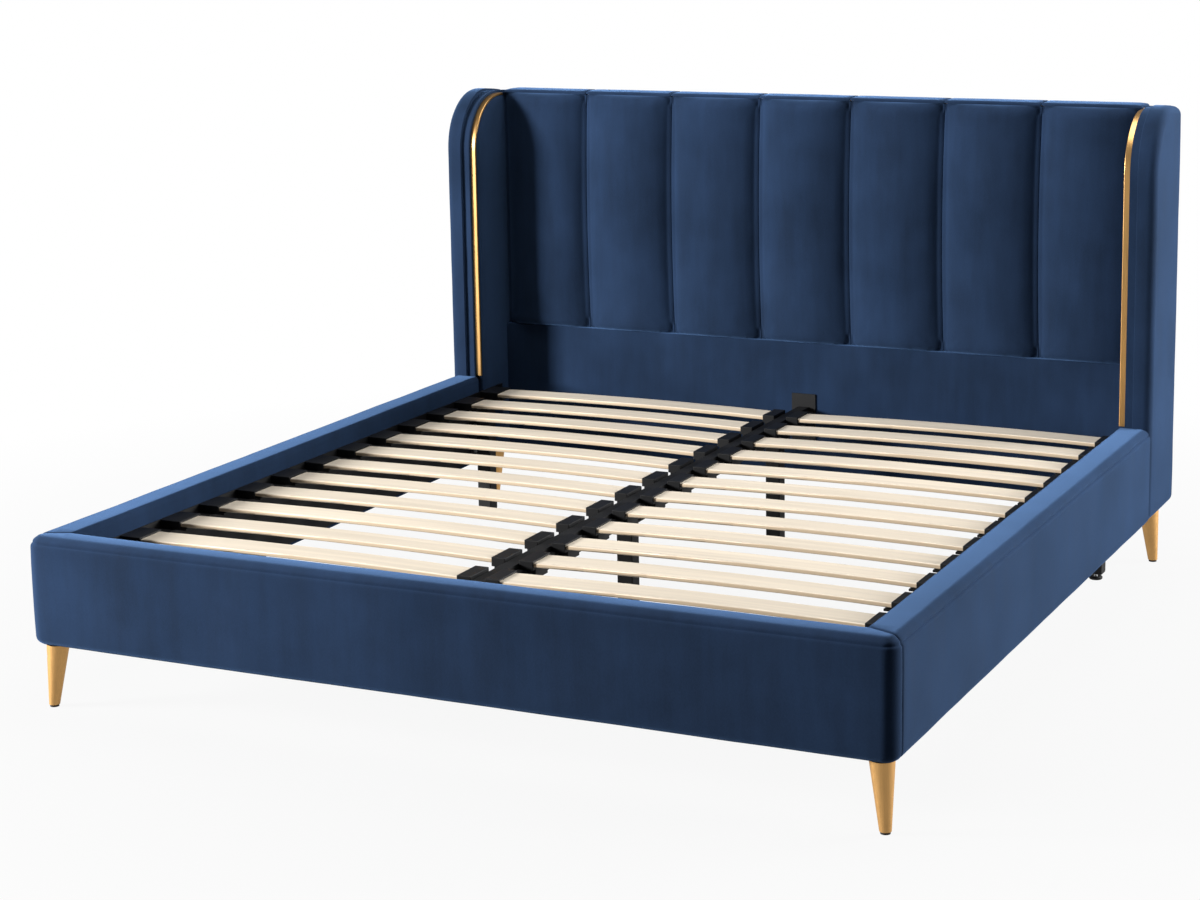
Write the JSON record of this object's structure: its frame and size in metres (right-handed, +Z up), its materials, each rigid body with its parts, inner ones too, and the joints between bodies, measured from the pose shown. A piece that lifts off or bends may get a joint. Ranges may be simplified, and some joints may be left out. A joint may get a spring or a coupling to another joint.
{
  "type": "upholstered bed",
  "caption": "Wing-back double bed frame with padded channels, gold trim strips, tapered legs and a bowed-slat base on a centre beam with levelling feet.",
  "frame": {"origin": "on the floor, under the centre of the bed outline", "axes": "+X to the right seen from the foot, +Y from the foot panel to the headboard, +Z up"},
  "size_m": [1.99, 2.175, 1.188],
  "materials": {
    "velvet": "short-pile navy velvet over foam",
    "lining": "black woven lining",
    "back_fabric": "plain navy fabric, tight over the back",
    "timber": "planed softwood",
    "plywood": "plywood",
    "birch": "clear-lacquered bent birch",
    "gold": "brushed gold",
    "black_plastic": "moulded, fine texture",
    "black_steel": "black powder coat",
    "zinc": "zinc plated",
    "glide": "dark moulded glide"
  },
  "bodies": {
    "bed": {"beam_bracket_foot": "black_steel", "beam_bracket_head": "black_steel", "bearer_screws": "zinc", "bracket_bolts": "zinc", "centre_beam": "black_steel", "centre_caps_left": "black_plastic", "centre_caps_right": "black_plastic", "corner_brackets": "black_steel", "foot_panel_cover": "velvet", "foot_panel_frame": "timber", "headboard_back_cover": "back_fabric", "headboard_channels": "velvet", "headboard_frame": "timber", "headboard_lower_pad": "velvet", "headboard_plywood": "plywood", "headboard_top_band": "velvet", "inner_linings": "lining", "joining_plates": "black_steel", "leg_bolts": "zinc", "leg_front_left": "gold", "leg_front_right": "gold", "leg_glides": "glide", "leg_plates": "black_steel", "leg_rear_left": "gold", "leg_rear_right": "gold", "rail_left_cover": "velvet", "rail_left_frame": "timber", "rail_right_cover": "velvet", "rail_right_frame": "timber", "side_bearer_left": "black_steel", "side_bearer_right": "black_steel", "side_caps_left": "black_plastic", "side_caps_right": "black_plastic", "slats_left": "birch", "slats_right": "birch", "support_leg_plugs": "black_plastic", "support_leg_screws": "zinc", "support_legs": "black_steel", "wing_bolts": "zinc", "wing_left_frame": "timber", "wing_left_front_band": "velvet", "wing_left_gold_strip": "gold", "wing_left_inner_pad": "velvet", "wing_left_outer_pad": "velvet", "wing_right_frame": "timber", "wing_right_front_band": "velvet", "wing_right_gold_strip": "gold", "wing_right_inner_pad": "velvet", "wing_right_outer_pad": "velvet"},
    "levelling_pad_middle": {"levelling_pad_middle": "black_plastic"},
    "levelling_screw_middle": {"levelling_screw_middle": "zinc"},
    "levelling_pad_head": {"levelling_pad_head": "black_plastic"},
    "levelling_screw_head": {"levelling_screw_head": "zinc"},
    "levelling_pad_left": {"levelling_pad_left": "black_plastic"},
    "levelling_screw_left": {"levelling_screw_left": "zinc"},
    "levelling_pad_right": {"levelling_pad_right": "black_plastic"},
    "levelling_screw_right": {"levelling_screw_right": "zinc"}
  },
  "joints": [
    {"name": "level_middle", "type": "slide", "parent": "bed", "child": "levelling_pad_middle", "axis": [0, 0, 1], "range_m": [0, 0.008]},
    {"name": "turn_middle", "type": "hinge", "parent": "levelling_pad_middle", "child": "levelling_screw_middle", "pos_m": [0, -0.132, 0.01], "axis": [0, 0, 1], "range_deg": [0, 1920.5]},
    {"name": "level_head", "type": "slide", "parent": "bed", "child": "levelling_pad_head", "axis": [0, 0, 1], "range_m": [0, 0.008]},
    {"name": "turn_head", "type": "hinge", "parent": "levelling_pad_head", "child": "levelling_screw_head", "pos_m": [0, 0.792, 0.01], "axis": [0, 0, 1], "range_deg": [0, 1920.5]},
    {"name": "level_left", "type": "slide", "parent": "bed", "child": "levelling_pad_left", "axis": [0, 0, 1], "range_m": [0, 0.008]},
    {"name": "turn_left", "type": "hinge", "parent": "levelling_pad_left", "child": "levelling_screw_left", "pos_m": [-0.872, 0.792, 0.01], "axis": [0, 0, 1], "range_deg": [0, 1920.5]},
    {"name": "level_right", "type": "slide", "parent": "bed", "child": "levelling_pad_right", "axis": [0, 0, 1], "range_m": [0, 0.008]},
    {"name": "turn_right", "type": "hinge", "parent": "levelling_pad_right", "child": "levelling_screw_right", "pos_m": [0.872, 0.792, 0.01], "axis": [0, 0, 1], "range_deg": [0, 1920.5]}
  ],
  "couplings": [
    {"joint": "turn_middle", "follows": "level_middle", "rad_per_m": 4188.8},
    {"joint": "turn_head", "follows": "level_head", "rad_per_m": 4188.8},
    {"joint": "turn_left", "follows": "level_left", "rad_per_m": 4188.8},
    {"joint": "turn_right", "follows": "level_right", "rad_per_m": 4188.8}
  ]
}
